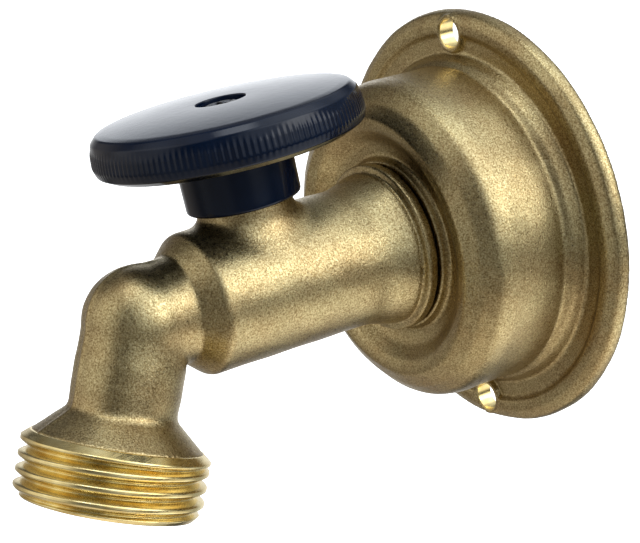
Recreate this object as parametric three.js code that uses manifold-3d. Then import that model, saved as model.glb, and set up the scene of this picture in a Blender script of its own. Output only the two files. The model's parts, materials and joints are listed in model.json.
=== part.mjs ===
// Quarter-turn hose bib: brass ball valve with a bell-shaped wall flange and a round knob.
// Millimetres, +Z up. The wall is the plane Y = 0 and the valve stands out along -Y.
// The origin is the centre of the flange's back face.
import * as THREE from "three";
import { mergeVertices } from "three/addons/utils/BufferGeometryUtils.js";
import Module from "manifold-3d";

// ---- driving dimensions --------------------------------------------------------------
const GAP = 0.3; // between pieces that touch in the real valve

const FLANGE_RADIUS = 33.3;
const FLANGE_THICKNESS = 3;
const CHANNEL_DEPTH = 0.8; // of the flat groove between the bell's foot and the flange's rim
const BELL_RADIUS = 24.9; // outside of the bell, just above the flange
const BELL_HEIGHT = 20.4; // wall to the bell's front face
const BELL_WALL = 3;
const BELL_FACE_THICKNESS = 2.35; // where the collar and the inlet's hexagon clamp it
const SCREW_CIRCLE_RADIUS = 29.8;
const SCREW_HOLE_RADIUS = 2.4;
const SCREW_HOLE_TURN = THREE.MathUtils.degToRad(3.4); // of the upper hole, from +Z to +X

const BARREL_RADIUS = 10.55;
const COLLAR_RADIUS = 13.1;
const COLLAR_BACK = -18.85; // the collar's rear face, which meets the bell
const SHOULDER_CONE = [-54.2, -57]; // from the barrel's front edge down to the neck
const NECK_RADIUS = 7.75;

const STEM_Y = -41.75; // centre of the ball, which the stem's axis passes through
const STEM_LEAN = THREE.MathUtils.degToRad(4); // of the stem's axis, from +Z away from the wall
const BALL_RADIUS = 7.5;
const BALL_PORT_RADIUS = 4.4;
const FLOW_RADIUS = 4.9;
const CHAMBER_RADIUS = 8.2;
const ADAPTER_BORE_RADIUS = 8.4;
const BALL_TO_ADAPTER = 9.6; // centre of the ball to the adapter's front end

const ELBOW_Y = -62.8; // where the spout's axis meets the barrel's
const ELBOW_RADIUS = 7.95;
const SPOUT_LEAN = THREE.MathUtils.degToRad(22.55); // spout axis from the vertical
const SPOUT_RADIUS = 7.75;
const SPOUT_LENGTH = 26.55; // elbow to outlet face
const FLARE_START = 13.3;
const FLARE_END = 17.3;
const FLARE_RADIUS = 12.3;
const OUTLET_BORE_RADIUS = 8.8;
const OUTLET_BORE_DEPTH = 9;

const HOSE_THREAD_RADIUS = 13.49; // 3/4-11.5 NH male garden hose thread
const HOSE_THREAD_PITCH = 25.4 / 11.5;
const HOSE_THREAD_ROOT = 12.1;
const HOSE_THREAD_START = 17.15; // elbow to the first crest, on the spout's wall side

const BOSS_RADIUS = 7; // this and all that follows is measured along the stem's axis
const BOSS_TOP = 20.6;
const STEM_RADIUS = 3.4;
const STEM_BORE_RADIUS = 3.7;
const GLAND_BORE_RADIUS = 5.3;
const GLAND_BORE_FLOOR = 13.7;
const STEM_FLATS = 5.2; // across the two flats that drive the knob
const STEM_TOP = 24;
const SHOULDER_RADIUS = 4.6;
const SHOULDER_BOTTOM = 8.6;
const SHOULDER_TOP = 10;
const THRUST_WASHER_THICKNESS = 0.5;

const PACKING_THICKNESS = 0.7;
const FOLLOWER_FLOOR = GLAND_BORE_FLOOR + 2 * PACKING_THICKNESS + 3 * GAP;
const FOLLOWER_THICKNESS = 0.5;
const THRUST_WASHER_TOP = SHOULDER_TOP + GAP + THRUST_WASHER_THICKNESS;

const STOP_DISC_TOP = 20.4;
const STOP_DISC_THICKNESS = 1.2;
const STOP_TAB_RADIUS = 6.7;
const STOP_TAB_HALF_ANGLE = THREE.MathUtils.degToRad(11);
const QUARTER_TURN = Math.PI / 2;
const STOP_PLAY = THREE.MathUtils.degToRad(1.5);

const KNOB_RADIUS = 20.1;
const KNOB_BOTTOM = 20.2;
const KNOB_TOP = 27.7;
const KNOB_TEETH = 90;
const KNOB_TOOTH_DEPTH = 0.35;
const KNOB_TEETH_FROM = 1.4; // above the knob's bottom
const KNOB_TEETH_HEIGHT = 2.6;
const KNOB_RIM_WIDTH = 3.2;
const KNOB_HOLLOW_DEPTH = 2.9; // of the ring-shaped hollow between the rim and the hub
const HUB_RADIUS = 8.65;
const HUB_BOTTOM = 12.5;
const HUB_HOLLOW_RADIUS = 7.4;
const HUB_HOLLOW_TOP = 21;
const SCREW_RECESS_RADIUS = 4.1;
const SCREW_RECESS_FLOOR = 24.4;

const WELD = 0.02; // detail finer than this is dropped after a cut
const LARGE = 36; // segments round a large turned piece
const MEDIUM = 24;
const SMALL = 14;

// ---- materials -----------------------------------------------------------------------
const finish = (color, roughness, metalness) =>
  new THREE.MeshStandardMaterial({ color, roughness, metalness });
const castBrass = finish(0x9a8458, 0.55, 1);
const turnedBrass = finish(0xcfae5c, 0.3, 1);
const navyPaint = finish(0x10141f, 0.25, 0);
const rubber = finish(0x17181a, 0.8, 0);
const ptfe = finish(0xe9e7e0, 0.5, 0);
const steel = finish(0x8d9196, 0.35, 1);
const chrome = finish(0xc4c8cc, 0.12, 1);

// ---- solids --------------------------------------------------------------------------
const wasm = await Module();
wasm.setup();

// A closed geometry as a manifold-3d solid, its seams welded and its collapsed faces dropped.
function solid(geometry) {
  const bare = new THREE.BufferGeometry()
    .setAttribute("position", geometry.getAttribute("position"))
    .setIndex(geometry.index);
  const merged = mergeVertices(bare, 1e-4);
  const corners = merged.index.array;
  const triVerts = [];
  for (let i = 0; i < corners.length; i += 3) {
    const [a, b, c] = corners.subarray(i, i + 3);
    if (a !== b && b !== c && c !== a) triVerts.push(a, b, c);
  }
  return new wasm.Manifold(
    new wasm.Mesh({
      numProp: 3,
      vertProperties: new Float32Array(merged.attributes.position.array),
      triVerts: new Uint32Array(triVerts),
    }),
  );
}

// The geometry of a finished solid, without the slivers that cuts leave.
function geometryOf(body) {
  const mesh = body.simplify(WELD).getMesh();
  const geometry = new THREE.BufferGeometry()
    .setAttribute("position", new THREE.BufferAttribute(new Float32Array(mesh.vertProperties), 3))
    .setIndex(new THREE.BufferAttribute(new Uint32Array(mesh.triVerts), 1));
  geometry.computeVertexNormals();
  return geometry;
}

const join = (...bodies) => bodies.reduce((a, b) => a.add(b));
const cut = (body, ...tools) => tools.reduce((a, b) => a.subtract(b), body);

// A path in the half-plane (radius, height), turned round the Y axis.
function turned(path, segments, arcSteps = 3) {
  return new THREE.LatheGeometry(path.getPoints(arcSteps), segments);
}

// A path through [radius, height] corners; two more numbers are a curve's control point.
function profile(points, closed = true) {
  const path = new THREE.Path();
  points.forEach(([x, y, controlX, controlY], i) => {
    if (i === 0) path.moveTo(x, y);
    else if (controlX !== undefined) path.quadraticCurveTo(controlX, controlY, x, y);
    else path.lineTo(x, y);
  });
  if (closed) path.lineTo(points[0][0], points[0][1]);
  return path;
}

// Turned pieces with their axis along Y, on the barrel's axis.
const alongY = (points, segments, closed) => turned(profile(points, closed), segments);

// Leans a piece made along Z about the ball's centre, onto the stem's axis.
const onStem = (geometry) => geometry.rotateX(STEM_LEAN).translate(0, STEM_Y, 0);

// Turned pieces on the stem's axis.
function alongStem(points, segments, closed) {
  return onStem(turned(profile(points, closed), segments).rotateX(Math.PI / 2));
}

function rodY(radius, from, to, segments = MEDIUM) {
  return new THREE.CylinderGeometry(radius, radius, to - from, segments)
    .translate(0, (from + to) / 2, 0);
}

function rodOnStem(radius, from, to, segments = MEDIUM) {
  return onStem(new THREE.CylinderGeometry(radius, radius, to - from, segments)
    .rotateX(Math.PI / 2)
    .translate(0, 0, (from + to) / 2));
}

function boxOnStem(width, depth, from, to) {
  return onStem(new THREE.BoxGeometry(width, depth, to - from).translate(0, 0, (from + to) / 2));
}

// A flat ring round the barrel's or the stem's axis.
const ring = (inner, outer, from, to) => [[inner, from], [outer, from], [outer, to], [inner, to]];

// An O-ring: centre radius, section radius, height.
function oRing(place, centre, section, height) {
  const sides = 6;
  const points = [];
  for (let i = 0; i < sides; i++) {
    const angle = (i / sides) * 2 * Math.PI;
    points.push([centre + section * Math.cos(angle), height + section * Math.sin(angle)]);
  }
  return place(points, SMALL, true);
}

// ---- wall flange ---------------------------------------------------------------------
function bellFlange() {
  const front = -BELL_HEIGHT;
  const rim = -FLANGE_THICKNESS;
  const channel = rim + CHANNEL_DEPTH;
  const hollow = BELL_RADIUS - BELL_WALL;
  const hole = ADAPTER_BORE_RADIUS + GAP;
  const face = COLLAR_BACK + GAP; // meets the collar
  const inside = face + BELL_FACE_THICKNESS;
  const body = solid(alongY([
    [hole, face],
    [COLLAR_RADIUS - 0.3, face],
    [COLLAR_RADIUS + 0.2, face + 0.6],
    [18.2, front + 0.5, 16.4, face + 0.2],
    [20.1, front, 19, front],
    [BELL_RADIUS - 0.3, front + 4.6, BELL_RADIUS - 1.6, front + 1.4],
    [BELL_RADIUS, rim - 1.9],
    [BELL_RADIUS + 1.3, rim - 0.3, BELL_RADIUS + 0.9, rim - 1.5],
    [BELL_RADIUS + 1.4, channel],
    [28.9, channel],
    [29.8, rim],
    [FLANGE_RADIUS - 1, rim + 0.5],
    [FLANGE_RADIUS, rim + 1.5, FLANGE_RADIUS, rim + 0.6],
    [FLANGE_RADIUS, -0.5],
    [FLANGE_RADIUS - 0.5, 0],
    [hollow, 0],
    [hollow, inside + 4],
    [hollow - 4, inside, hollow, inside],
    [hole, inside],
  ], LARGE));
  const holes = [0, Math.PI].map((turn) => {
    const angle = SCREW_HOLE_TURN + turn;
    const drill = rodY(SCREW_HOLE_RADIUS, rim - 2, 2, SMALL).translate(
      SCREW_CIRCLE_RADIUS * Math.sin(angle), 0, SCREW_CIRCLE_RADIUS * Math.cos(angle));
    return solid(drill);
  });
  return geometryOf(cut(body, ...holes));
}

// ---- valve body ----------------------------------------------------------------------
// Spout pieces are turned about Y from the elbow and swung to the spout's direction.
function alongSpout(geometry) {
  return geometry.rotateX(-QUARTER_TURN - SPOUT_LEAN)
    .translate(0, ELBOW_Y, 0);
}

// Height of a right-hand thread's form above its root, 0 to 1, at an angle and distance along.
function threadForm(angle, along) {
  const turns = (along - HOSE_THREAD_START) / HOSE_THREAD_PITCH - angle / (2 * Math.PI);
  const fromCrest = Math.abs(turns - Math.round(turns));
  return THREE.MathUtils.clamp((0.44 - fromCrest) / 0.36, 0, 1);
}

// Moves a turned blank's surface out to the thread's form, under the outlet's end chamfer.
function cutThread(blank, from, end) {
  const position = blank.getAttribute("position");
  const depth = HOSE_THREAD_RADIUS - HOSE_THREAD_ROOT;
  for (let i = 0; i < position.count; i++) {
    const [x, along, z] = [position.getX(i), position.getY(i), position.getZ(i)];
    const radius = Math.hypot(x, z);
    if (along < from || radius < HOSE_THREAD_ROOT - 0.01) continue;
    const chamfer = depth * Math.min(1, 0.1 + (end - along) / 2);
    const grown = HOSE_THREAD_ROOT + Math.min(depth * threadForm(Math.atan2(x, z), along), chamfer);
    position.setX(i, (x * grown) / radius);
    position.setZ(i, (z * grown) / radius);
  }
  return blank;
}

function barrelOutside() {
  const [coneTop, coneFoot] = SHOULDER_CONE;
  return solid(alongY([
    [0, ELBOW_Y],
    [NECK_RADIUS, ELBOW_Y],
    [NECK_RADIUS, coneFoot - 0.8],
    [NECK_RADIUS + 0.5, coneFoot, NECK_RADIUS, coneFoot - 0.2],
    [BARREL_RADIUS - 0.2, coneTop],
    [BARREL_RADIUS, coneTop + 0.6],
    [BARREL_RADIUS, COLLAR_BACK - 8],
    [COLLAR_RADIUS - 1.1, COLLAR_BACK - 3, BARREL_RADIUS, COLLAR_BACK - 4.6],
    [COLLAR_RADIUS - 1.4, COLLAR_BACK - 2.6],
    [COLLAR_RADIUS - 0.5, COLLAR_BACK - 2.2],
    [COLLAR_RADIUS, COLLAR_BACK - 1.7],
    [COLLAR_RADIUS, COLLAR_BACK - 0.5],
    [COLLAR_RADIUS - 0.5, COLLAR_BACK],
    [0, COLLAR_BACK],
  ], LARGE, false));
}

function spoutOutside() {
  const end = SPOUT_LENGTH;
  const threadFrom = FLARE_END + 0.2;
  const rows = Math.round((end - threadFrom) / (HOSE_THREAD_PITCH / 5));
  const threadRows = Array.from({ length: rows + 1 }, (_, i) =>
    [HOSE_THREAD_ROOT, threadFrom + (i / rows) * (end - threadFrom)]);
  const blank = alongY([
    [0, 0],
    [SPOUT_RADIUS, 0],
    [SPOUT_RADIUS, FLARE_START - 0.6],
    [SPOUT_RADIUS + 0.9, FLARE_START + 0.7, SPOUT_RADIUS, FLARE_START + 0.2],
    [FLARE_RADIUS, FLARE_END],
    ...threadRows,
    [0, end],
  ], LARGE, false);
  return solid(alongSpout(cutThread(blank, threadFrom - 0.01, end)));
}

function bossOutside() {
  return solid(alongStem([
    [0, 2],
    [BOSS_RADIUS + 1.6, 2],
    [BOSS_RADIUS + 1.6, 8.2],
    [BOSS_RADIUS, 11, BOSS_RADIUS + 0.1, 8.9],
    [BOSS_RADIUS, BOSS_TOP - 0.4],
    [BOSS_RADIUS - 0.4, BOSS_TOP],
    [0, BOSS_TOP],
  ], MEDIUM, false));
}

// The sector of the boss's rim that the stop disc's tab swings in.
function stopNotch() {
  const half = QUARTER_TURN / 2 + STOP_TAB_HALF_ANGLE + STOP_PLAY;
  const reach = BOSS_RADIUS + 2;
  const shape = new THREE.Shape().moveTo(0, 0).absarc(0, 0, reach, -half, half, false).lineTo(0, 0);
  const floor = STOP_DISC_TOP - STOP_DISC_THICKNESS - GAP;
  const wedge = new THREE.ExtrudeGeometry(shape, {
    depth: BOSS_TOP + 1 - floor, bevelEnabled: false, curveSegments: 6,
  });
  return solid(onStem(wedge.translate(0, 0, floor)));
}

function valveBody() {
  const elbow = solid(new THREE.SphereGeometry(ELBOW_RADIUS, MEDIUM, SMALL)
    .translate(0, ELBOW_Y, 0));
  const outside = join(barrelOutside(), elbow, spoutOutside(), bossOutside());
  const seatWall = STEM_Y - BALL_RADIUS - GAP;
  const chamberEnd = STEM_Y + BALL_TO_ADAPTER;
  return geometryOf(cut(
    outside,
    solid(rodY(ADAPTER_BORE_RADIUS, chamberEnd - GAP, COLLAR_BACK + 2)),
    solid(rodY(CHAMBER_RADIUS, seatWall, chamberEnd + GAP)),
    solid(rodY(FLOW_RADIUS, ELBOW_Y, seatWall + 1, SMALL)),
    solid(new THREE.SphereGeometry(FLOW_RADIUS, SMALL, 12).translate(0, ELBOW_Y, 0)),
    solid(alongSpout(rodY(FLOW_RADIUS, 0, SPOUT_LENGTH, SMALL))),
    solid(alongSpout(rodY(OUTLET_BORE_RADIUS, SPOUT_LENGTH - OUTLET_BORE_DEPTH, SPOUT_LENGTH + 2))),
    solid(rodOnStem(SHOULDER_RADIUS + GAP, 5, THRUST_WASHER_TOP + GAP, SMALL)),
    solid(rodOnStem(STEM_BORE_RADIUS, 9, GLAND_BORE_FLOOR + 1, SMALL)),
    solid(rodOnStem(GLAND_BORE_RADIUS, GLAND_BORE_FLOOR, BOSS_TOP + 1, SMALL)),
    stopNotch(),
  ));
}

// ---- inlet ---------------------------------------------------------------------------
const HEX_FRONT = -14.6;
const HEX_BACK = -2;
const HEX_CORNER_RADIUS = 15;
const INLET_SOCKET_RADIUS = 9.2; // 1/2 in. female pipe thread
const ADAPTER_SEAL_Y = -23.6;

function inletAdapter() {
  const front = STEM_Y + BALL_TO_ADAPTER;
  const shank = solid(rodY(ADAPTER_BORE_RADIUS - GAP, front, HEX_FRONT + 1));
  const hex = solid(rodY(HEX_CORNER_RADIUS, HEX_FRONT, HEX_BACK, 6));
  const chamfer = solid(alongY([
    [0, HEX_FRONT],
    [HEX_CORNER_RADIUS - 1.6, HEX_FRONT],
    [HEX_CORNER_RADIUS, HEX_FRONT + 1.2],
    [HEX_CORNER_RADIUS, HEX_BACK - 1.2],
    [HEX_CORNER_RADIUS - 1.6, HEX_BACK],
    [0, HEX_BACK],
  ], MEDIUM, false));
  const groove = ring(6.4, ADAPTER_BORE_RADIUS + 1, ADAPTER_SEAL_Y - 1, ADAPTER_SEAL_Y + 1);
  return geometryOf(cut(
    join(shank, hex.intersect(chamfer)),
    solid(rodY(FLOW_RADIUS + 0.1, front - 2, HEX_BACK + 2, SMALL)),
    solid(rodY(INLET_SOCKET_RADIUS, HEX_FRONT + 2, HEX_BACK + 2)),
    solid(alongY(groove, MEDIUM)),
  ));
}

// A seat on one side of the ball: +1 towards the wall, -1 towards the spout.
function seat(side) {
  const inner = FLOW_RADIUS + GAP;
  const outer = CHAMBER_RADIUS - GAP;
  const back = BALL_RADIUS - 0.05;
  const sphere = BALL_RADIUS + GAP;
  const onSphere = (radius) => Math.sqrt(sphere * sphere - radius * radius);
  const face = [0, 0.7, 1.4, 2].map((step) => [inner + step, onSphere(inner + step)]);
  const outline = [[inner, back], ...face, [outer, face[3][1]], [outer, back]];
  const placed = outline.map(([radius, height]) => [radius, STEM_Y + side * height]);
  return alongY(side > 0 ? placed : placed.reverse(), SMALL);
}

// ---- ball and stem -------------------------------------------------------------------
const SLOT_WIDTH = 2.6;
const SLOT_FLOOR = 5.2;
const TANG_LENGTH = 4.4;
const SCREW_HOLE_FLOOR = 18.8;
const SCREW_HEAD_RADIUS = 3.4;
const LOCK_WASHER_THICKNESS = 0.7;
const SCREW_SHANK_RADIUS = 1.4;
const SEAL_GROOVES = [12.2, 17.8]; // heights of the stem's two O-ring grooves
const SEAL_GROOVE_RADIUS = 2.3;
const SEAL_GROOVE_HALF = 0.6;

// The port lies across the barrel: the valve is shut.
function ball() {
  const sphere = solid(onStem(new THREE.SphereGeometry(BALL_RADIUS, MEDIUM, SMALL)));
  const port = solid(onStem(rodY(BALL_PORT_RADIUS, -9, 9, SMALL).rotateZ(QUARTER_TURN)));
  const slot = solid(boxOnStem(SLOT_WIDTH, 20, SLOT_FLOOR, BALL_RADIUS + 2));
  return geometryOf(cut(sphere, port, slot));
}

function stem() {
  const grooves = SEAL_GROOVES.flatMap((height) => [
    [STEM_RADIUS, height - SEAL_GROOVE_HALF],
    [SEAL_GROOVE_RADIUS, height - SEAL_GROOVE_HALF],
    [SEAL_GROOVE_RADIUS, height + SEAL_GROOVE_HALF],
    [STEM_RADIUS, height + SEAL_GROOVE_HALF],
  ]);
  const shaft = solid(alongStem([
    [0, SHOULDER_BOTTOM],
    [SHOULDER_RADIUS, SHOULDER_BOTTOM],
    [SHOULDER_RADIUS, SHOULDER_TOP],
    [STEM_RADIUS, SHOULDER_TOP],
    ...grooves,
    [STEM_RADIUS, STEM_TOP - 0.4],
    [STEM_RADIUS - 0.4, STEM_TOP],
    [0, STEM_TOP],
  ], SMALL, false));
  const tang = solid(boxOnStem(
    SLOT_WIDTH - 2 * GAP, TANG_LENGTH, SLOT_FLOOR + GAP, SHOULDER_BOTTOM + 0.5));
  const flatsFrom = STOP_DISC_TOP - STOP_DISC_THICKNESS - 0.1;
  const cutWidth = 4;
  const flats = [1, -1].map((side) => solid(boxOnStem(cutWidth, 20, flatsFrom, STEM_TOP + 2)
    .translate((side * (STEM_FLATS + cutWidth)) / 2, 0, 0)));
  const hole = solid(rodOnStem(SCREW_SHANK_RADIUS + GAP, SCREW_HOLE_FLOOR, STEM_TOP + 2, 12));
  return geometryOf(cut(join(shaft, tang), ...flats, hole));
}

// A round hole with two flats, that fits the stem's top with a gap all round.
function drivenHole(reverse) {
  const radius = STEM_RADIUS + GAP;
  const flat = STEM_FLATS / 2 + GAP;
  const angle = Math.acos(flat / radius);
  const path = new THREE.Path();
  path.absarc(0, 0, radius, angle, Math.PI - angle, false);
  path.absarc(0, 0, radius, Math.PI + angle, 2 * Math.PI - angle, false);
  path.closePath();
  const points = path.getPoints(5);
  return reverse ? points.reverse() : points;
}

function stopDisc() {
  const tab = -QUARTER_TURN / 2; // where the tab points when the valve is shut
  const half = STOP_TAB_HALF_ANGLE;
  const shape = new THREE.Shape();
  shape.absarc(0, 0, STOP_TAB_RADIUS, tab - half, tab + half, false);
  shape.absarc(0, 0, GLAND_BORE_RADIUS - 0.4, tab + half, tab - half + 2 * Math.PI, false);
  shape.closePath();
  shape.holes.push(new THREE.Path(drivenHole(true)));
  const disc = new THREE.ExtrudeGeometry(shape, {
    depth: STOP_DISC_THICKNESS, bevelEnabled: false, curveSegments: 12,
  });
  return onStem(disc.translate(0, 0, STOP_DISC_TOP - STOP_DISC_THICKNESS));
}

function glandNut() {
  const floor = FOLLOWER_FLOOR + FOLLOWER_THICKNESS + GAP;
  const top = STOP_DISC_TOP - STOP_DISC_THICKNESS - 0.2;
  const nut = solid(alongStem(ring(STEM_BORE_RADIUS, GLAND_BORE_RADIUS - GAP, floor, top), SMALL));
  const slot = solid(boxOnStem(1.2, 14, top - 1, top + 1));
  return geometryOf(nut.subtract(slot));
}

// ---- knob ----------------------------------------------------------------------------
function knobTeeth() {
  const shape = new THREE.Shape();
  for (let i = 0; i < 2 * KNOB_TEETH; i++) {
    const angle = (i / KNOB_TEETH) * Math.PI;
    const radius = KNOB_RADIUS - (i % 2) * KNOB_TOOTH_DEPTH;
    const x = radius * Math.cos(angle);
    const y = radius * Math.sin(angle);
    if (i === 0) shape.moveTo(x, y);
    else shape.lineTo(x, y);
  }
  shape.closePath();
  const band = new THREE.ExtrudeGeometry(shape, { depth: KNOB_TEETH_HEIGHT, bevelEnabled: false });
  return solid(onStem(band.translate(0, 0, KNOB_BOTTOM + KNOB_TEETH_FROM)));
}

function knob() {
  const rim = KNOB_RADIUS - KNOB_TOOTH_DEPTH - 0.05;
  const rimInside = KNOB_RADIUS - KNOB_RIM_WIDTH;
  const web = KNOB_BOTTOM + KNOB_HOLLOW_DEPTH;
  const body = solid(alongStem([
    [0, HUB_BOTTOM],
    [HUB_RADIUS - 0.9, HUB_BOTTOM],
    [HUB_RADIUS - 0.15, HUB_BOTTOM + 0.8, HUB_RADIUS - 0.15, HUB_BOTTOM],
    [HUB_RADIUS, web - 1.2],
    [HUB_RADIUS + 1.2, web, HUB_RADIUS, web],
    [rimInside - 0.6, web],
    [rimInside, KNOB_BOTTOM + 0.4],
    [rimInside + 0.4, KNOB_BOTTOM],
    [rimInside + 1, KNOB_BOTTOM],
    [rim, KNOB_BOTTOM + 1.3, rim - 0.2, KNOB_BOTTOM + 0.4],
    [rim, KNOB_TOP - 3.2],
    [rim - 1.4, KNOB_TOP - 1.2, rim - 0.3, KNOB_TOP - 1.6],
    [12.5, KNOB_TOP - 0.3],
    [SCREW_RECESS_RADIUS + 1, KNOB_TOP],
    [0, KNOB_TOP],
  ], LARGE, false));
  const driven = new THREE.ExtrudeGeometry(new THREE.Shape(drivenHole(false)), {
    depth: 8, bevelEnabled: false,
  });
  return geometryOf(cut(
    join(body, knobTeeth()),
    solid(rodOnStem(HUB_HOLLOW_RADIUS, HUB_BOTTOM - 2, HUB_HOLLOW_TOP, MEDIUM)),
    solid(rodOnStem(SCREW_RECESS_RADIUS, SCREW_RECESS_FLOOR, KNOB_TOP + 2, SMALL)),
    solid(onStem(driven.translate(0, 0, HUB_HOLLOW_TOP - 1))),
  ));
}

function handleScrew() {
  const under = SCREW_RECESS_FLOOR + LOCK_WASHER_THICKNESS + 2 * GAP;
  const top = KNOB_TOP - 0.4;
  const body = solid(alongStem([
    [0, SCREW_HOLE_FLOOR + 0.5],
    [SCREW_SHANK_RADIUS - 0.3, SCREW_HOLE_FLOOR + 0.5],
    [SCREW_SHANK_RADIUS, SCREW_HOLE_FLOOR + 0.9],
    [SCREW_SHANK_RADIUS, under],
    [SCREW_HEAD_RADIUS, under],
    [SCREW_HEAD_RADIUS, top - 0.7],
    [SCREW_HEAD_RADIUS - 1, top, SCREW_HEAD_RADIUS - 0.1, top - 0.1],
    [0, top],
  ], SMALL, false));
  const cross = [0, QUARTER_TURN].map((turn) => solid(onStem(
    new THREE.BoxGeometry(0.8, 3.6, 2).rotateZ(turn).translate(0, 0, top))));
  return geometryOf(cut(body, ...cross));
}

// A split spring washer: a ring with a narrow gap.
function lockWasher() {
  const floor = SCREW_RECESS_FLOOR + GAP;
  const washer = solid(alongStem(
    ring(SCREW_SHANK_RADIUS + 0.4, SCREW_HEAD_RADIUS, floor, floor + LOCK_WASHER_THICKNESS), SMALL));
  const split = solid(onStem(new THREE.BoxGeometry(4, 0.5, 3).translate(3, 0, floor)));
  return geometryOf(washer.subtract(split));
}

// ---- assembly ------------------------------------------------------------------------
const STEM_SEAL_CENTRE = 3.05;
const STEM_SEAL_SECTION = 0.42;
const BODY_SEAL_SECTION = 0.72;
const ENERGISER_FROM_BALL = 8.55; // between the inlet seat's back and the adapter's front

const hoseBib = new THREE.Group();

function place(name, geometry, material) {
  const mesh = new THREE.Mesh(geometry, material);
  mesh.name = name;
  hoseBib.add(mesh);
}

const stemRing = (inner, outer, from, to) => alongStem(ring(inner, outer, from, to), SMALL);
const glandRing = (from, thickness) =>
  stemRing(STEM_BORE_RADIUS, GLAND_BORE_RADIUS - GAP, from, from + thickness);
const stemSeal = (height) => oRing(alongStem, STEM_SEAL_CENTRE, STEM_SEAL_SECTION, height);
const bodySeal = (centre, y) => oRing(alongY, centre, BODY_SEAL_SECTION, y);

place("bell_flange", bellFlange(), castBrass);
place("valve_body", valveBody(), castBrass);
place("inlet_adapter", inletAdapter(), turnedBrass);
place("flange_washer", alongY(ring(8.7, 13.2, HEX_FRONT - 1.3, HEX_FRONT - GAP), MEDIUM), steel);
place("adapter_o_ring", bodySeal(7.45, ADAPTER_SEAL_Y), rubber);
place("seat_energiser", bodySeal(6.7, STEM_Y + ENERGISER_FROM_BALL), rubber);
place("inlet_seat", seat(1), ptfe);
place("outlet_seat", seat(-1), ptfe);
place("ball", ball(), chrome);
place("stem", stem(), turnedBrass);
place("thrust_washer", stemRing(
  STEM_BORE_RADIUS, SHOULDER_RADIUS, SHOULDER_TOP + GAP, THRUST_WASHER_TOP), ptfe);
place("stem_o_ring_lower", stemSeal(SEAL_GROOVES[0]), rubber);
place("stem_o_ring_upper", stemSeal(SEAL_GROOVES[1]), rubber);
place("packing_ring_lower", glandRing(GLAND_BORE_FLOOR + GAP, PACKING_THICKNESS), ptfe);
place("packing_ring_upper", glandRing(
  GLAND_BORE_FLOOR + PACKING_THICKNESS + 2 * GAP, PACKING_THICKNESS), ptfe);
place("packing_follower", glandRing(FOLLOWER_FLOOR, FOLLOWER_THICKNESS), turnedBrass);
place("gland_nut", glandNut(), turnedBrass);
place("stop_disc", stopDisc(), steel);
place("knob", knob(), navyPaint);
place("lock_washer", lockWasher(), steel);
place("handle_screw", handleScrew(), steel);

export default hoseBib;
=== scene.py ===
import json
import math

import bpy
import numpy as np
from mathutils import Matrix, Vector

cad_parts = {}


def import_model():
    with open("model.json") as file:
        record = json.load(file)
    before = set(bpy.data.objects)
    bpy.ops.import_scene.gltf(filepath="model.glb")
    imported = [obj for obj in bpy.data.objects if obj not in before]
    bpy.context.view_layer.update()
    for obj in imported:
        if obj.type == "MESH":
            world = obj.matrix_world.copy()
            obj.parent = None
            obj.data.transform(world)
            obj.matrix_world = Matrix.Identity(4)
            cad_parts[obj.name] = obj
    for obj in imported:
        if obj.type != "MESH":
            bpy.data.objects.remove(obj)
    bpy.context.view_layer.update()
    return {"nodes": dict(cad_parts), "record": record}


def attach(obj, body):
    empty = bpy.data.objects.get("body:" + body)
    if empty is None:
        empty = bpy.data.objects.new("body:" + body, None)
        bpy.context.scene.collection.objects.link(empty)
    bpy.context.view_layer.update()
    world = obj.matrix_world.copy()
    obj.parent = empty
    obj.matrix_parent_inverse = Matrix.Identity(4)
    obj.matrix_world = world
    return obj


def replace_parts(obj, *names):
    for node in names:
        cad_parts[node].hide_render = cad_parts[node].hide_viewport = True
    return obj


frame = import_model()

# Shapes are worked out in millimetres and made in metres.
MM = 0.001

# ---- sizes, in millimetres -----------------------------------------------------------
STEP = 0.34  # grid of the cast shapes
SCREW_STEP = 0.12  # grid of the handle screw
ROUND = 360  # segments round the hose thread
HOLE_ROUND = 96  # segments round a screw hole

STEM_Y = -41.75  # the stem's axis passes here at Z = 0
STEM_LEAN = math.radians(4)  # away from the wall
STEM_PLACE = Matrix.Translation((0, STEM_Y, 0)) @ Matrix.Rotation(STEM_LEAN, 4, "X")
ADAPTER_FRONT = STEM_Y + 9.6  # the inlet adapter's end, inside the body

KNOB_RADIUS = 20.15
KNOB_BOTTOM = 20.3
KNOB_TOP = 27.7
HUB_BOTTOM = 12.5
SCREW_RECESS = 24.4
SCREW_TOP = 27.3

FLANGE_RADIUS = 33.3
BELL_FRONT = -20.4
BARREL_RADIUS = 10.55
BARREL_FRONT = -57.0
COLLAR_RADIUS = 13.1
COLLAR_BACK = -18.85
NECK_RADIUS = 7.75
ELBOW_RADIUS = 7.95
BOSS_RADIUS = 7.0
BOSS_TOP = 20.6
PARTING_LINE = 0.18  # height of the ridge where the mould's halves met
PARTING_WIDTH = 0.45
CAST_WAVE = 0.04  # depth of a casting's unevenness

ELBOW_Y = -62.8
SPOUT_LEAN = math.radians(22.55)
SPOUT_LENGTH = 26.55
FLARE_START = 13.3
FLARE_END = 17.3
FLARE_RADIUS = 12.3
HOSE_RADIUS = 13.49
HOSE_ROOT = 12.1
HOSE_PITCH = 25.4 / 11.5
FIRST_CREST = 17.15
OUTLET_BORE = 8.8
FLOW_RADIUS = 4.9

HEX_HALF = 13.0  # the inlet's hexagon, from its axis to a flat
HEX_CORNER = 15.2
HEX_BACK = -2.0
HEX_FRONT = -14.6
PIPE_PITCH = 1.814

SCREW_CIRCLE = 29.8
SCREW_HOLE = 2.25
SCREW_HOLE_TURN = math.radians(3.4)

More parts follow.
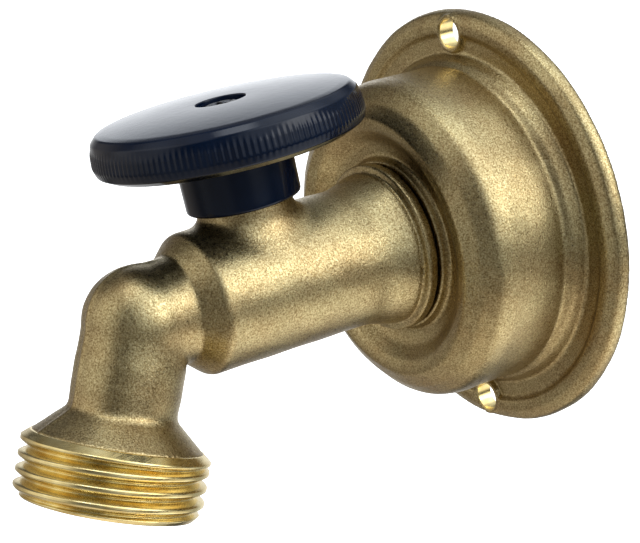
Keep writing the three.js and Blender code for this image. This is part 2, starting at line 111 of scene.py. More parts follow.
PAST_AXIS = -5  # the inner side of an outline that is solid up to its axis
STRAIGHT = 1.56  # half a corner's angle, from which it counts as no corner
NOISE_LOW, NOISE_HIGH = 0.3, 0.7  # the range that most of a noise's values lie in


# ---- outlines ------------------------------------------------------------------------
def rounded(corners, steps=8):
    """A closed outline through (radius, height, fillet) corners, with its fillets as arcs."""
    points = np.array([corner[:2] for corner in corners], float)
    outline = []
    for i, corner in enumerate(corners):
        here = points[i]
        back = points[i - 1] - here
        ahead = points[(i + 1) % len(points)] - here
        reach_back, reach_ahead = np.linalg.norm(back), np.linalg.norm(ahead)
        back, ahead = back / reach_back, ahead / reach_ahead
        half = math.acos(np.clip(back @ ahead, -1, 1)) / 2
        if corner[2] <= 0 or half > STRAIGHT:
            outline.append(here)
            continue
        setback = min(corner[2] / math.tan(half), 0.49 * reach_back, 0.49 * reach_ahead)
        middle = (back + ahead) / np.linalg.norm(back + ahead)
        centre = here + middle * setback / math.cos(half)
        start, end = here + back * setback - centre, here + ahead * setback - centre
        turn = math.atan2(start[0] * end[1] - start[1] * end[0], start @ end)
        for t in np.linspace(0, turn, steps + 1):
            c, s = math.cos(t), math.sin(t)
            outline.append(centre + [start[0] * c - start[1] * s, start[0] * s + start[1] * c])
    return np.array(outline)


def outline_distance(outline, radius, height):
    """Signed distance from points to a closed outline, negative inside."""
    nearest = np.full(radius.shape, 1e9)
    inside = np.zeros(radius.shape, bool)
    for (ar, ah), (br, bh) in zip(outline, np.roll(outline, -1, axis=0)):
        er, eh = br - ar, bh - ah
        length = er * er + eh * eh
        if length < 1e-12:
            continue
        t = np.clip(((radius - ar) * er + (height - ah) * eh) / length, 0, 1)
        nearest = np.minimum(nearest, np.hypot(radius - ar - t * er, height - ah - t * eh))
        if eh:
            inside ^= ((ah > height) != (bh > height)) & (radius < ar + (height - ah) / eh * er)
    return np.where(inside, -nearest, nearest)


def turned(outline, radius, height, pitch=0.1):
    """Signed distance to an outline turned round its axis, read from a fine table of it."""
    floor = height.min() - pitch
    radii = np.arange(0, radius.max() + 2 * pitch, pitch)
    heights = np.arange(floor, height.max() + 3 * pitch, pitch)
    table = outline_distance(outline, *np.meshgrid(radii, heights, indexing="ij"))
    r, h = np.broadcast_arrays(radius / pitch, (height - floor) / pitch)
    i, j = r.astype(int), h.astype(int)
    u, v = r - i, h - j
    low = table[i, j] * (1 - v) + table[i, j + 1] * v
    high = table[i + 1, j] * (1 - v) + table[i + 1, j + 1] * v
    return low * (1 - u) + high * u


# ---- solids as distances -------------------------------------------------------------
def blend_in(a, b, fillet):
    """Both solids, with a fillet where they meet."""
    mix = np.clip(0.5 + 0.5 * (b - a) / fillet, 0, 1)
    return b * (1 - mix) + a * mix - fillet * mix * (1 - mix)


def cut_out(a, b, edge=0.15):
    """Solid a without solid b, with a softened edge."""
    return -blend_in(-a, b, edge)


def rod(across, along, radius, start, end):
    """A round rod from its radial and axial distances."""
    return np.maximum(across - radius, np.maximum(start - along, along - end))


def unevenness(x, y, z):
    """The slow, slight waviness of a casting."""
    wave = np.sin(0.45 * x + 0.31 * y + 1.3) * np.sin(0.38 * y - 0.27 * z)
    wave = wave + 0.6 * np.sin(0.83 * z + 0.52 * x) * np.sin(0.71 * y + 0.64 * z + 2.1)
    return CAST_WAVE * wave


def grid(low, high, step=STEP):
    """Coordinates of a grid two cells larger than a box, and its first corner."""
    axes = [np.arange(a - 2 * step, b + 3 * step, step) for a, b in zip(low, high)]
    x, y, z = np.ix_(*axes)
    return x, y, z, np.array([axis[0] for axis in axes])


# ---- meshes --------------------------------------------------------------------------
def make_piece(name, points, faces, material, body="root"):
    """A smooth-shaded piece from points in millimetres, riding on a body."""
    mesh = bpy.data.meshes.new(name)
    mesh.from_pydata((np.asarray(points) * MM).tolist(), [], np.asarray(faces).tolist())
    mesh.polygons.foreach_set("use_smooth", np.ones(len(mesh.polygons), bool))
    mesh.materials.append(material)
    mesh.update()
    piece = bpy.data.objects.new(name, mesh)
    bpy.context.scene.collection.objects.link(piece)
    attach(piece, body)
    return piece


def skin(field, low, step=STEP):
    """Points and quads of a distance grid's zero level."""
    cells = np.array(field.shape) - 1
    total = int(np.prod(cells))
    sums, counts, quads = np.zeros((total, 3)), np.zeros(total), []
    for axis in range(3):
        first = [slice(None)] * 3
        second = [slice(None)] * 3
        first[axis], second[axis] = slice(None, -1), slice(1, None)
        here, there = field[tuple(first)], field[tuple(second)]
        crossing = np.nonzero((here < 0) != (there < 0))
        near, far = here[crossing], there[crossing]
        index = np.stack(crossing, axis=1)
        point = index.astype(float)
        point[:, axis] += near / (near - far)
        ring = []
        for b, c in ((0, 0), (-1, 0), (-1, -1), (0, -1)):
            cell = index.copy()
            cell[:, (axis + 1) % 3] += b
            cell[:, (axis + 2) % 3] += c
            flat = np.ravel_multi_index(cell.T, cells)
            ring.append(flat)
            counts += np.bincount(flat, minlength=total)
            for k in range(3):
                sums[:, k] += np.bincount(flat, weights=point[:, k], minlength=total)
        quad = np.stack(ring, axis=1)
        quads.append(np.where((near < 0)[:, None], quad, quad[:, ::-1]))
    used = np.nonzero(counts)[0]
    number = np.zeros(total, int)
    number[used] = np.arange(len(used))
    points = low + step * sums[used] / counts[used][:, None]
    return points, number[np.concatenate(quads)]


def turn(outline, segments, shape=None):
    """Points and quads of a closed outline (radius, height) turned round Z.

    shape(radius, height, angle) gives the changed radius.
    """
    angle = np.arange(segments) / segments * 2 * math.pi
    radius, angles = np.meshgrid(outline[:, 0], angle)
    height = np.broadcast_to(outline[:, 1], radius.shape)
    if shape:
        radius = shape(radius, height, angles)
    points = np.stack([radius * np.cos(angles), radius * np.sin(angles), height], axis=-1)
    rows = len(outline)
    a = np.arange(segments * rows).reshape(segments, rows)
    b = np.roll(a, -1, axis=0)
    quads = np.stack([a, b, np.roll(b, -1, axis=1), np.roll(a, -1, axis=1)], axis=-1)
    return points.reshape(-1, 3), quads.reshape(-1, 4)


def refined(outline, spacing):
    """The outline with points added so that no step is longer than spacing."""
    points = []
    for here, ahead in zip(outline, np.roll(outline, -1, axis=0)):
        count = max(1, math.ceil(np.linalg.norm(ahead - here) / spacing))
        points += [here + (ahead - here) * k / count for k in range(count)]
    return np.array(points)


# ---- materials -----------------------------------------------------------------------
class Nodes:
    """A material's node tree, written as calls."""

    def __init__(self, name):
        self.material = bpy.data.materials.new(name)
        self.material.use_nodes = True
        self.tree = self.material.node_tree
        self.shader = self.tree.nodes["Principled BSDF"]

    def add(self, kind, inputs=None, **settings):
        node = self.tree.nodes.new(kind)
        for key, value in settings.items():
            setattr(node, key, value)
        for key, value in (inputs or {}).items():
            if isinstance(value, bpy.types.NodeSocket):
                self.tree.links.new(value, node.inputs[key])
            else:
                node.inputs[key].default_value = value
        return node

    def place(self):
        return self.add("ShaderNodeTexCoord").outputs["Object"]

    def noise(self, size_mm, detail=3, rough=0.55, vector=None):
        values = {"Vector": vector or self.place(), "Scale": 1 / (size_mm * MM)}
        values.update({"Detail": detail, "Roughness": rough})
        return self.add("ShaderNodeTexNoise", values).outputs["Fac"]

    def ramp(self, factor, stops):
        node = self.add("ShaderNodeValToRGB", {"Fac": factor})
        elements = node.color_ramp.elements
        elements[0].position, elements[0].color = stops[0][0], (*stops[0][1], 1)
        elements[1].position, elements[1].color = stops[-1][0], (*stops[-1][1], 1)
        for position, color in stops[1:-1]:
            elements.new(position).color = (*color, 1)
        return node.outputs["Color"]

    def span(self, noise, low, high):
        values = {"Value": noise, "From Min": NOISE_LOW, "From Max": NOISE_HIGH}
        values.update({"To Min": low, "To Max": high})
        return self.add("ShaderNodeMapRange", values).outputs["Result"]

    def multiply(self, a, b):
        values = {0: 1.0, 6: a, 7: b}  # the factor and the two colours
        node = self.add("ShaderNodeMix", values, data_type="RGBA", blend_type="MULTIPLY")
        return node.outputs[2]

    def bump(self, height, depth_mm, below=None):
        values = {"Height": height, "Distance": depth_mm * MM, "Strength": 1.0}
        if below:
            values["Normal"] = below
        return self.add("ShaderNodeBump", values).outputs["Normal"]

    def finish(self, **sockets):
        for key, value in sockets.items():
            target = self.shader.inputs[key.replace("_", " ")]
            if isinstance(value, bpy.types.NodeSocket):
                self.tree.links.new(value, target)
            else:
                target.default_value = value
        return self.material


def cast_brass():
    """Sand-cast brass after shot blasting: a fine bright grain over slow olive and brown tones."""
    n = Nodes("cast_brass")
    tone = n.ramp(n.noise(9, 4), [(0.3, (0.37, 0.265, 0.12)), (0.7, (0.46, 0.37, 0.18))])
    grain = n.noise(0.24, 2, 0.6)
    speck = n.ramp(grain, [
        (0.34, (0.52, 0.48, 0.42)),
        (0.5, (0.95, 0.95, 0.95)),
        (0.66, (1.35, 1.44, 1.62)),
    ])
    color = n.multiply(tone, speck)
    rough = n.span(n.noise(0.5, 3), 0.25, 0.42)
    coarse = n.bump(n.noise(1.6, 3), 0.05)
    normal = n.bump(n.noise(0.26, 3, 0.7), 0.045, coarse)
    return n.finish(Base_Color=color, Metallic=1.0, Roughness=rough, Normal=normal)


def turned_brass():
    """Bright brass off the lathe: fine tool lines and a few darker smears."""
    lines_mm, stretch = 0.12, 14
    n = Nodes("turned_brass")
    tone = n.ramp(n.noise(3, 3), [(0.35, (0.72, 0.55, 0.22)), (0.65, (0.86, 0.72, 0.36))])
    along = {"Vector": n.place(), "Scale": (1, 1, stretch)}
    stretched = n.add("ShaderNodeMapping", along).outputs[0]
    lines = n.noise(lines_mm * stretch, 2, 0.5, stretched)
    rough = n.span(lines, 0.18, 0.3)
    normal = n.bump(lines, 0.004)
    return n.finish(Base_Color=tone, Metallic=1.0, Roughness=rough, Normal=normal)


def navy_paint():
    """Glossy dark navy enamel with the faint orange peel of a sprayed die casting."""
    n = Nodes("navy_paint")
    tone = n.ramp(n.noise(6, 2), [(0.3, (0.0015, 0.005, 0.015)), (0.7, (0.003, 0.008, 0.022))])
    rough = n.span(n.noise(2.5, 3), 0.07, 0.14)
    peel = n.bump(n.noise(1.1, 2), 0.012)
    return n.finish(Base_Color=tone, Metallic=0.0, Roughness=rough, Normal=peel, IOR=1.31)


def plain_metal(name, dark, light, rough, grain_mm):
    """A metal whose tone and gloss vary slowly, with a fine grain."""
    n = Nodes(name)
    tone = n.ramp(n.noise(grain_mm * 8, 3), [(0.3, dark), (0.7, light)])
    fine = n.noise(grain_mm, 3)
    roughness = n.span(fine, rough * 0.7, rough * 1.3)
    normal = n.bump(fine, grain_mm * 0.06)
    return n.finish(Base_Color=tone, Metallic=1.0, Roughness=roughness, Normal=normal)


def plain_polymer(name, dark, light, rough):
    """A rubber or plastic with a slightly uneven tone and a fine matt surface."""
    n = Nodes(name)
    tone = n.ramp(n.noise(1.5, 3), [(0.3, dark), (0.7, light)])
    fine = n.noise(0.3, 3)
    roughness = n.span(fine, rough * 0.85, rough * 1.15)
    return n.finish(Base_Color=tone, Roughness=roughness, Normal=n.bump(fine, 0.01))


# ---- wall flange ---------------------------------------------------------------------
def screw_hole_centres():
    """X and Z of the upper hole, then of the lower one."""
    for turn_by in (0, math.pi):
        angle = SCREW_HOLE_TURN + turn_by
        yield SCREW_CIRCLE * math.sin(angle), SCREW_CIRCLE * math.cos(angle)


def bell_flange(material, wall_material):
    """The cast bell and rim, and the drilled walls of its two screw holes."""
    rim = -3.0
    channel = -2.2
    back = -16.2  # the bell's inside
    outline = rounded([
        (8.7, -18.5, 0.2),
        (12.5, -18.5, 0.1),
        (12.6, -18.75, 0.1),
        (13.2, -18.7, 0.15),
        (13.25, -18.2, 0.15),
        (13.7, -17.3, 0.5),
        (15.9, -17.7, 3.0),
        (18.4, -20.1, 2.0),
        (20.2, BELL_FRONT - 0.05, 1.0),
        (22.6, -19.0, 3.0),
        (24.6, -16.9, 3.0),
        (25.05, -14.6, 5.0),
        (25.0, -5.0, 1.0),
        (25.8, -4.1, 1.2),
        (26.3, -2.9, 0.8),
        (26.6, channel, 0.4),
        (29.2, channel, 0.5),
        (29.9, rim + 0.05, 0.4),
        (31.4, rim, 1.5),
        (33.0, rim + 0.75, 1.0),
        (FLANGE_RADIUS, rim + 1.8, 0.8),
        (FLANGE_RADIUS, 0, 0.4),
        (22.0, 0, 0.4),
        (22.0, back, 4.0),
        (8.7, back, 0.2),
    ])
    low = (-FLANGE_RADIUS, BELL_FRONT - 0.5, -FLANGE_RADIUS)
    high = (FLANGE_RADIUS, 0, FLANGE_RADIUS)
    x, y, z, origin = grid(low, high)
    field = turned(outline, np.hypot(x, z), y) + unevenness(x, y, z)
    for hole_x, hole_z in screw_hole_centres():
        from_hole = np.hypot(x - hole_x, z - hole_z)
        pad = rod(from_hole, y, SCREW_HOLE + 0.7, rim + 0.1, -1)
        field = cut_out(blend_in(field, pad, 0.3), from_hole - SCREW_HOLE - 0.1 + 0 * y)
    piece = make_piece("bell_flange_casting", *skin(field, origin), material)
    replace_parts(piece, "bell_flange")

    wall = refined(rounded([
        (SCREW_HOLE + 0.3, -0.15, 0.1),
        (SCREW_HOLE, -0.15, 0.1),
        (SCREW_HOLE, rim + 0.12, 0.12),
        (SCREW_HOLE + 0.3, rim + 0.12, 0.1),
    ]), 0.06)
    for name, (hole_x, hole_z) in zip(("upper", "lower"), screw_hole_centres()):
        points, quads = turn(wall, HOLE_ROUND)
        points = points[:, (0, 2, 1)] + [hole_x, 0, hole_z]
        piece = make_piece("screw_hole_" + name, points, quads, wall_material)
        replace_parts(piece, "bell_flange")


# ---- valve body ----------------------------------------------------------------------
def spout_space(y, z):
    """Distance along the spout's axis from the elbow, and across it in the plane of symmetry."""
    along = -(y - ELBOW_Y) * math.sin(SPOUT_LEAN) - z * math.cos(SPOUT_LEAN)
    across = (y - ELBOW_Y) * math.cos(SPOUT_LEAN) - z * math.sin(SPOUT_LEAN)
    return along, across


def stem_space(x, y, z):
    """Distance from the stem's axis, and height along it from the ball's centre."""
    ahead = (y - STEM_Y) * math.cos(STEM_LEAN) + z * math.sin(STEM_LEAN)
    height = z * math.cos(STEM_LEAN) - (y - STEM_Y) * math.sin(STEM_LEAN)
    return np.hypot(x, ahead), height + 0 * x


def barrel_outline():
    bead = COLLAR_BACK - 0.5
    return rounded([
        (PAST_AXIS, BARREL_FRONT - 1.5, 0),
        (NECK_RADIUS - 0.3, BARREL_FRONT - 1.5, 0),
        (NECK_RADIUS + 0.1, BARREL_FRONT + 0.1, 0.3),
        (BARREL_RADIUS - 0.25, BARREL_FRONT + 2.9, 0.3),
        (BARREL_RADIUS, BARREL_FRONT + 3.5, 0.5),
        (BARREL_RADIUS, COLLAR_BACK - 7.4, 9),
        (COLLAR_RADIUS - 1.2, bead - 2.2, 0.4),
        (COLLAR_RADIUS - 1.4, bead - 1.75, 0.15),
        (COLLAR_RADIUS - 0.1, bead - 1.55, 0.35),
        (COLLAR_RADIUS, bead, 0.45),
        (COLLAR_RADIUS - 0.5, bead + 0.05, 0.15),
        (COLLAR_RADIUS - 0.55, COLLAR_BACK, 0.1),
        (PAST_AXIS, COLLAR_BACK, 0),
    ])


def flare_outline():
    return rounded([
        (PAST_AXIS, 4, 0),
        (NECK_RADIUS - 0.3, 4, 0.2),
        (NECK_RADIUS, 6, 3),
        (NECK_RADIUS, FLARE_START - 0.2, 1.6),
        (FLARE_RADIUS + 0.05, FLARE_END - 0.1, 0.25),
        (FLARE_RADIUS - 0.3, FLARE_END + 0.1, 0.1),
        (PAST_AXIS, FLARE_END + 0.1, 0),
    ])


def valve_casting(material):
    """The cast body without its thread: collar, barrel, boss, neck, elbow, spout and flare."""
    low = (-HOSE_RADIUS, -82, -26)  # past the flare
    high = (HOSE_RADIUS, COLLAR_BACK, BOSS_TOP)
    neck_end = -50  # inside the barrel
    x, y, z, origin = grid(low, high)
    along, across = spout_space(y, z)
    from_barrel = np.hypot(x, z)
    from_spout = np.hypot(x, across)
    from_stem, height = stem_space(x, y, z)

    neck_along = np.clip(y, ELBOW_Y, neck_end)
    neck = np.hypot(from_barrel, y - neck_along) - NECK_RADIUS
    tube_along = np.clip(along, 0, FLARE_START - 4)
    tube = np.hypot(from_spout, along - tube_along) - NECK_RADIUS
    knuckle = np.hypot(from_barrel, y - ELBOW_Y) - ELBOW_RADIUS
    elbow = blend_in(blend_in(neck, tube, 0.5), knuckle, 0.3)
    elbow = blend_in(elbow, turned(flare_outline(), from_spout, along), 0.4)
    barrel = blend_in(turned(barrel_outline(), from_barrel, y), elbow, 0.3)
    boss = rod(from_stem, height, BOSS_RADIUS, 0, BOSS_TOP)
    field = blend_in(barrel, boss, 2.4) + unevenness(x, y, z)
    before_shoulder = np.clip((BARREL_FRONT - y) / 2, 0, 1)
    field = field - PARTING_LINE * before_shoulder * np.exp(-(x / PARTING_WIDTH) ** 2)

    outside = 40  # past the end of a bore that opens outwards
    for hollow in (
        rod(from_barrel, y, 8.4, ADAPTER_FRONT - 0.3, 0),  # the adapter's shank
        rod(from_barrel, y, 8.2, STEM_Y - 7.8, ADAPTER_FRONT + 0.2),  # the ball and its seats
        rod(from_barrel, y, FLOW_RADIUS, ELBOW_Y, STEM_Y),
        np.hypot(from_barrel, y - ELBOW_Y) - FLOW_RADIUS,
        rod(from_spout, along, FLOW_RADIUS, 0, outside),
        rod(from_stem, height, 4.9, 5, 11.1),  # the stem's shoulder and its washer
        rod(from_stem, height, 3.7, 9, 15),  # the stem
        rod(from_stem, height, 5.3, 13.7, outside),  # the packing and what holds it
    ):
        field = cut_out(field, hollow)
    piece = make_piece("valve_casting", *skin(field, origin), material)
    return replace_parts(piece, "valve_body")


def thread_height(turns):
    """A 60 degree thread form with a worn, flat crest and a rounded root, 0 to 1."""
    root, flank_width = 0.47, 0.37  # in turns from the crest
    from_crest = np.abs(turns - np.round(turns))
    flank = np.clip((root - from_crest) / flank_width, 0, 1)
    return 0.5 * flank + 0.5 * np.sin(flank * math.pi / 2)


def hose_thread(material):
    """The machined outlet, with its axis along Z from the elbow."""
    start = FLARE_END - 0.25
    depth = HOSE_RADIUS - HOSE_ROOT
    outline = refined(rounded([
        (OUTLET_BORE, start, 0),
        (HOSE_ROOT, start, 0),
        (HOSE_ROOT, SPOUT_LENGTH, 0.12),
        (OUTLET_BORE, SPOUT_LENGTH, 0.3),
    ]), 0.1)

    # Behind the thread a plain ring grows from a small step. A chamfer ends the thread.
    def shape(radius, height, angle):
        turns = (height - FIRST_CREST) / HOSE_PITCH - angle / (2 * math.pi)
        land = 0.15 + (height - start) / 1.15
        chamfer = np.clip(0.1 + (SPOUT_LENGTH - height) / 1.6, 0, 1)
        ring = np.clip(np.minimum(land, (start + 1.9 - height) / 0.6), 0, 1)
        ridge = np.maximum(thread_height(turns), ring)
        grown = depth * np.minimum(np.minimum(ridge, land), chamfer)
        return radius + np.where(radius > HOSE_ROOT - 0.01, grown, 0)

    points, quads = turn(outline, ROUND, shape)
    # The outline's angle starts on the spout's wall side and grows towards +X.
    across = np.array([0, math.cos(SPOUT_LEAN), -math.sin(SPOUT_LEAN)])
    down = np.array([0, -math.sin(SPOUT_LEAN), -math.cos(SPOUT_LEAN)])
    place = np.stack([across, np.array([1.0, 0, 0]), down])
    points = points @ place + [0, ELBOW_Y, 0]
    piece = make_piece("hose_thread", points, quads, material)
    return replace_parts(piece, "valve_body")


# ---- inlet ---------------------------------------------------------------------------
def inlet_adapter(material):
    """The turned inlet: a hexagon, a shank with its seal groove, and a pipe-threaded socket."""
    x, y, z, origin = grid((-13.2, ADAPTER_FRONT, -15), (13.2, HEX_BACK, 15))
    radius = np.hypot(x, z)
    hexagon = np.abs(x) + 0 * z
    for turn_by in (math.radians(60), math.radians(120)):
        hexagon = np.maximum(hexagon, np.abs(x * math.cos(turn_by) + z * math.sin(turn_by)))
    blank = turned(rounded([
        (PAST_AXIS, HEX_FRONT, 0),
        (HEX_CORNER - 1.6, HEX_FRONT, 0),
        (HEX_CORNER, HEX_FRONT + 1.0, 0.2),
        (HEX_CORNER, HEX_BACK - 1.0, 0.2),
        (HEX_CORNER - 1.6, HEX_BACK, 0),
        (PAST_AXIS, HEX_BACK, 0),
    ]), radius, y)
    head = np.maximum(hexagon - HEX_HALF, blank)
    shank = rod(radius, y, 8.1, ADAPTER_FRONT, -14)
    turns = y / PIPE_PITCH + np.arctan2(z, x) / (2 * math.pi)
    taper = 0.03 * (y + 12)
    pipe_thread = 9.3 - 0.7 * np.abs(turns - np.floor(turns) - 0.5) - taper
    field = np.minimum(head, shank)
    for hollow in (
        rod(radius, y, 5.0, -40, 5),  # the waterway
        np.maximum(radius - pipe_thread, -12.6 - y),  # the socket
        np.maximum(6.4 - radius, np.abs(y + 23.6) - 1.0),  # the O-ring's groove
    ):
        field = cut_out(field, hollow)
    piece = make_piece("inlet_adapter_turned", *skin(field, origin), material)
    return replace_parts(piece, "inlet_adapter")


# ---- knob ----------------------------------------------------------------------------
KNOB_TEETH = 140
TOOTH_DEPTH = 0.1
RECESS_RADIUS = 3.7
BAND = (KNOB_BOTTOM + 1.3, KNOB_TOP - 2.3)  # heights that the teeth fade into


def on_stem(points):
    """Points made round Z, moved to the stem's leaning axis."""
    turn_to = np.array(STEM_PLACE.to_3x3())
    return points @ turn_to.T + [0, STEM_Y, 0]


def knob_outline():
    web = KNOB_BOTTOM + 2.8
    edge = KNOB_RADIUS - 2.6
    socket, socket_top = 7.4, 21.0  # the hub's hollow, over the boss
    screw_way = 3.5
    dome = [(r, KNOB_TOP - 0.75 * ((r - RECESS_RADIUS) / (edge - RECESS_RADIUS)) ** 2, 0)
            for r in np.linspace(edge, RECESS_RADIUS + 0.6, 24)]
    return rounded([
        (socket, HUB_BOTTOM, 0.15),
        (8.5, HUB_BOTTOM, 0.7),
        (8.62, web - 0.1, 1.2),
        (16.3, web, 0.6),
        (17.0, KNOB_BOTTOM, 0.35),
        (18.3, KNOB_BOTTOM + 0.1, 0.6),
        (19.75, KNOB_BOTTOM + 0.9, 0.5),
        (KNOB_RADIUS, KNOB_BOTTOM + 2.2, 1.6),
        (KNOB_RADIUS - 0.15, KNOB_TOP - 3.4, 3.0),
        (KNOB_RADIUS - 0.6, KNOB_TOP - 1.9, 0.9),
        (KNOB_RADIUS - 1.5, KNOB_TOP - 0.95, 0.9),
        *dome,
        (RECESS_RADIUS, KNOB_TOP, 0.2),
        (RECESS_RADIUS, SCREW_RECESS, 0.2),
        (screw_way, SCREW_RECESS, 0.1),
        (screw_way, socket_top, 0.1),
        (socket, socket_top, 0.3),
    ], steps=10)


def knob(material):
    """The knob with its hub, hollow underside and toothed rim."""
    fade, rim_depth = 1.1, 1.2

    def shape(radius, height, angle):
        rise = np.clip((height - BAND[0]) / fade, 0, 1) * np.clip((BAND[1] - height) / fade, 0, 1)
        on_rim = radius > KNOB_RADIUS - rim_depth
        valley = 0.5 - 0.5 * np.cos(KNOB_TEETH * angle)
        return radius - on_rim * TOOTH_DEPTH * rise * valley ** 0.8

    segments = KNOB_TEETH * 6
    points, quads = turn(refined(knob_outline(), 0.5), segments, shape)
    piece = make_piece("knob_casting", on_stem(points), quads, material, "handle")
    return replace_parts(piece, "knob")


def handle_screw(material):
    """A cross-head screw with a threaded shank, its head between under and SCREW_TOP."""
    bottom, under = 19.3, 25.7
    pitch = 0.6
    slot_half, slot_reach = 0.42, 1.8
    x, y, z, origin = grid((-3.5, -3.5, bottom), (3.5, 3.5, SCREW_TOP), SCREW_STEP)
    radius = np.hypot(x, y)
    head = turned(rounded([
        (PAST_AXIS, under, 0),
        (3.4, under, 0.15),
        (3.4, SCREW_TOP - 0.8, 0.3),
        (2.2, SCREW_TOP, 1.4),
        (PAST_AXIS, SCREW_TOP, 0),
    ]), radius, z + 0 * x)
    turns = z / pitch - np.arctan2(y, x) / (2 * math.pi)
    crest = 1.4 - 0.25 * np.abs(2 * (turns - np.floor(turns)) - 1)
    shank = np.maximum(radius - crest, np.maximum(bottom - z, z - under - 0.2))
    cross = np.minimum(np.maximum(np.abs(x) - slot_half, np.abs(y) - slot_reach),
                       np.maximum(np.abs(y) - slot_half, np.abs(x) - slot_reach))
    recess = np.maximum(cross, SCREW_TOP - 1.0 - z)
    field = cut_out(np.minimum(head, shank), recess, 0.1)
    points, quads = skin(field, origin, SCREW_STEP)
    piece = make_piece("handle_screw_steel", on_stem(points), quads, material, "handle")
    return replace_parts(piece, "handle_screw")


# ---- camera, light and floor ---------------------------------------------------------
# The camera, estimated from the photo's outlines: degrees, metres and a lens in millimetres.
AZIMUTH, ELEVATION, ROLL = 58.0, 12.7, -9.26
DISTANCE = 0.25721
TARGET = (0, -0.03175, -0.00089)
LENS = 96.45


def camera():
    azimuth, elevation, roll = map(math.radians, (AZIMUTH, ELEVATION, ROLL))
    back = Vector((math.sin(azimuth) * math.cos(elevation),
                   -math.cos(azimuth) * math.cos(elevation), math.sin(elevation)))
    level = Vector((math.cos(azimuth), math.sin(azimuth), 0))
    up = back.cross(level)
    right = level * math.cos(roll) + up * math.sin(roll)
    upright = up * math.cos(roll) - level * math.sin(roll)
    lens = bpy.data.cameras.new("camera")
    lens.sensor_width = 36
    lens.lens = LENS
    lens.clip_start = 0.01
    place = Matrix((right, upright, back)).transposed().to_4x4()
    place.translation = Vector(TARGET) + back * DISTANCE
    view = bpy.data.objects.new("camera", lens)
    view.matrix_world = place
    bpy.context.scene.collection.objects.link(view)
    bpy.context.scene.camera = view


# Soft lights round the valve: direction, strength, colour, and the angle in degrees that each
# fades out at. Most began as a fit to the photo and were rounded.
WARM, NEUTRAL, COOL = (1.04, 0.95, 0.86), (1.0, 1.0, 1.0), (0.92, 0.98, 1.06)
STUDIO = (
    ((0.5, 0.3, 0.8), 1.7, COOL, 42),
    ((0.0, -0.6, 0.8), 0.8, NEUTRAL, 42),
    ((0.0, 0.6, 0.8), 0.65, COOL, 42),
    ((-0.5, 0.3, 0.8), 0.2, NEUTRAL, 42),
    ((0.95, 0.15, 0.35), 1.2, COOL, 42),
    ((0.6, 0.7, 0.35), 0.4, COOL, 42),
    ((-0.3, -0.9, 0.35), 0.75, NEUTRAL, 42),
    ((0.1, -0.95, -0.25), 0.35, NEUTRAL, 42),
    ((0.85, -0.45, -0.15), 0.2, NEUTRAL, 42),
    ((-0.85, -0.5, 0.1), 0.4, WARM, 42),
    ((-0.85, 0.5, -0.25), 0.8, NEUTRAL, 42),
    ((-0.3, 0.9, -0.25), 0.5, COOL, 42),
    ((0.4, 0.4, -0.8), 1.7, NEUTRAL, 42),
    ((0.3, -0.3, -0.9), 0.8, WARM, 38),
    ((-0.4, -0.4, -0.8), 0.65, WARM, 42),
    ((-0.85, 0.5, 0.2), 0.8, COOL, 20),
    ((0.2, -0.1, 0.97), 4.0, COOL, 13),
    ((0.78, 0.52, 0.28), 3.2, NEUTRAL, 22),
)
LIGHT_CORE = 5  # each is at full strength within this angle, in degrees
SURROUND = (0.01, 0.01, 0.01)


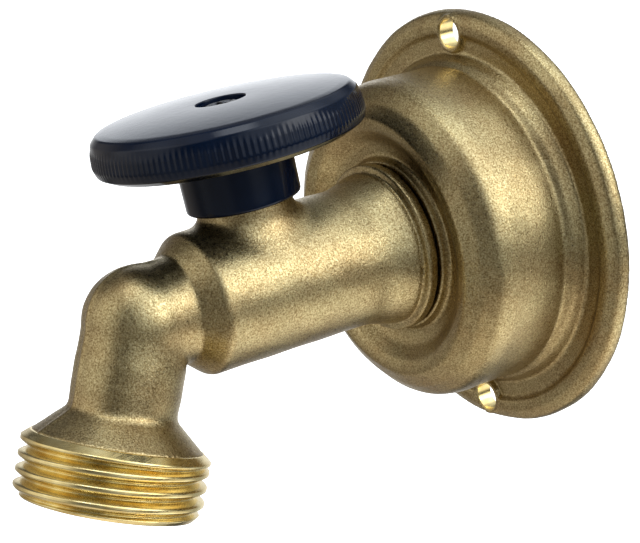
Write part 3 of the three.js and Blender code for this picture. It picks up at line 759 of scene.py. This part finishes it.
def world():
    """A white backdrop, and a studio made of soft lights on a dim surround."""
    studio = bpy.data.worlds.new("studio")
    studio.use_nodes = True
    tree = studio.node_tree
    tree.nodes.clear()
    add, link = tree.nodes.new, tree.links.new
    direction = add("ShaderNodeTexCoord").outputs["Generated"]
    total = add("ShaderNodeRGB").outputs[0]
    total.default_value = (*SURROUND, 1)
    for toward, strength, color, edge in STUDIO:
        facing = add("ShaderNodeVectorMath")
        facing.operation = "DOT_PRODUCT"
        link(direction, facing.inputs[0])
        facing.inputs[1].default_value = Vector(toward).normalized()
        lobe = add("ShaderNodeMapRange")
        lobe.interpolation_type = "SMOOTHSTEP"
        link(facing.outputs["Value"], lobe.inputs["Value"])
        lobe.inputs["From Min"].default_value = math.cos(math.radians(edge))
        lobe.inputs["From Max"].default_value = math.cos(math.radians(LIGHT_CORE))
        lobe.inputs["To Max"].default_value = strength
        tint = add("ShaderNodeVectorMath")
        tint.operation = "SCALE"
        tint.inputs[0].default_value = color
        link(lobe.outputs["Result"], tint.inputs["Scale"])
        sum_up = add("ShaderNodeVectorMath")
        link(total, sum_up.inputs[0])
        link(tint.outputs[0], sum_up.inputs[1])
        total = sum_up.outputs[0]
    seen = add("ShaderNodeBackground")
    seen.inputs["Color"].default_value = (1, 1, 1, 1)
    lit = add("ShaderNodeBackground")
    link(total, lit.inputs["Color"])
    path = add("ShaderNodeLightPath")
    mix = add("ShaderNodeMixShader")
    link(path.outputs["Is Camera Ray"], mix.inputs["Fac"])
    link(lit.outputs[0], mix.inputs[1])
    link(seen.outputs[0], mix.inputs[2])
    link(mix.outputs[0], add("ShaderNodeOutputWorld").inputs["Surface"])
    bpy.context.scene.world = studio


def floor():
    """A plain pale floor that lights nothing and isn't reflected."""
    n = Nodes("floor")
    n.finish(Base_Color=(0.9, 0.9, 0.9, 1), Roughness=0.9, Emission_Color=(1, 1, 1, 1),
             Emission_Strength=1.0)
    size, drop = 12.0, 0.3  # metres
    mesh = bpy.data.meshes.new("floor")
    corners = [(-size, -size, 0), (size, -size, 0), (size, size, 0), (-size, size, 0)]
    mesh.from_pydata(corners, [], [(0, 1, 2, 3)])
    mesh.materials.append(n.material)
    ground = bpy.data.objects.new("floor", mesh)
    ground.location.z = -drop
    ground.visible_diffuse = False
    ground.visible_glossy = False
    bpy.context.scene.collection.objects.link(ground)


# ---- assembly ------------------------------------------------------------------------
camera()
world()
floor()

brass = cast_brass()
bright = turned_brass()
paint = navy_paint()
finishes = {
    "cast_brass": brass,
    "turned_brass": bright,
    "navy_paint": paint,
    "stainless": plain_metal("stainless", (0.30, 0.31, 0.33), (0.48, 0.49, 0.51), 0.3, 0.3),
    "chrome_plate": plain_metal("chrome_plate", (0.55, 0.56, 0.58), (0.66, 0.67, 0.69), 0.08, 0.4),
    "seal_rubber": plain_polymer("seal_rubber", (0.012, 0.012, 0.012), (0.022, 0.022, 0.023), 0.6),
    "ptfe": plain_polymer("ptfe", (0.76, 0.74, 0.68), (0.85, 0.83, 0.78), 0.45),
}
# Every CAD node gets the finish that the record names for it.
for part in frame["record"]["subparts"]:
    node = frame["nodes"][part["node"]]
    if not node.material_slots:
        node.data.materials.append(None)
    for entry in node.material_slots:
        entry.link = "OBJECT"
        entry.material = finishes[part["material_slot"]]

bell_flange(brass, bright)
valve_casting(brass)
hose_thread(bright)
inlet_adapter(bright)
knob(paint)
# Darker than stainless: painted shade, so that the screw in its recess looks as dark as in the
# photo.
handle_screw(plain_metal("screw_steel_painted_shade", (0.05, 0.052, 0.058), (0.09, 0.092, 0.1), 0.4, 0.3))

bpy.context.scene.view_settings.view_transform = "Standard"
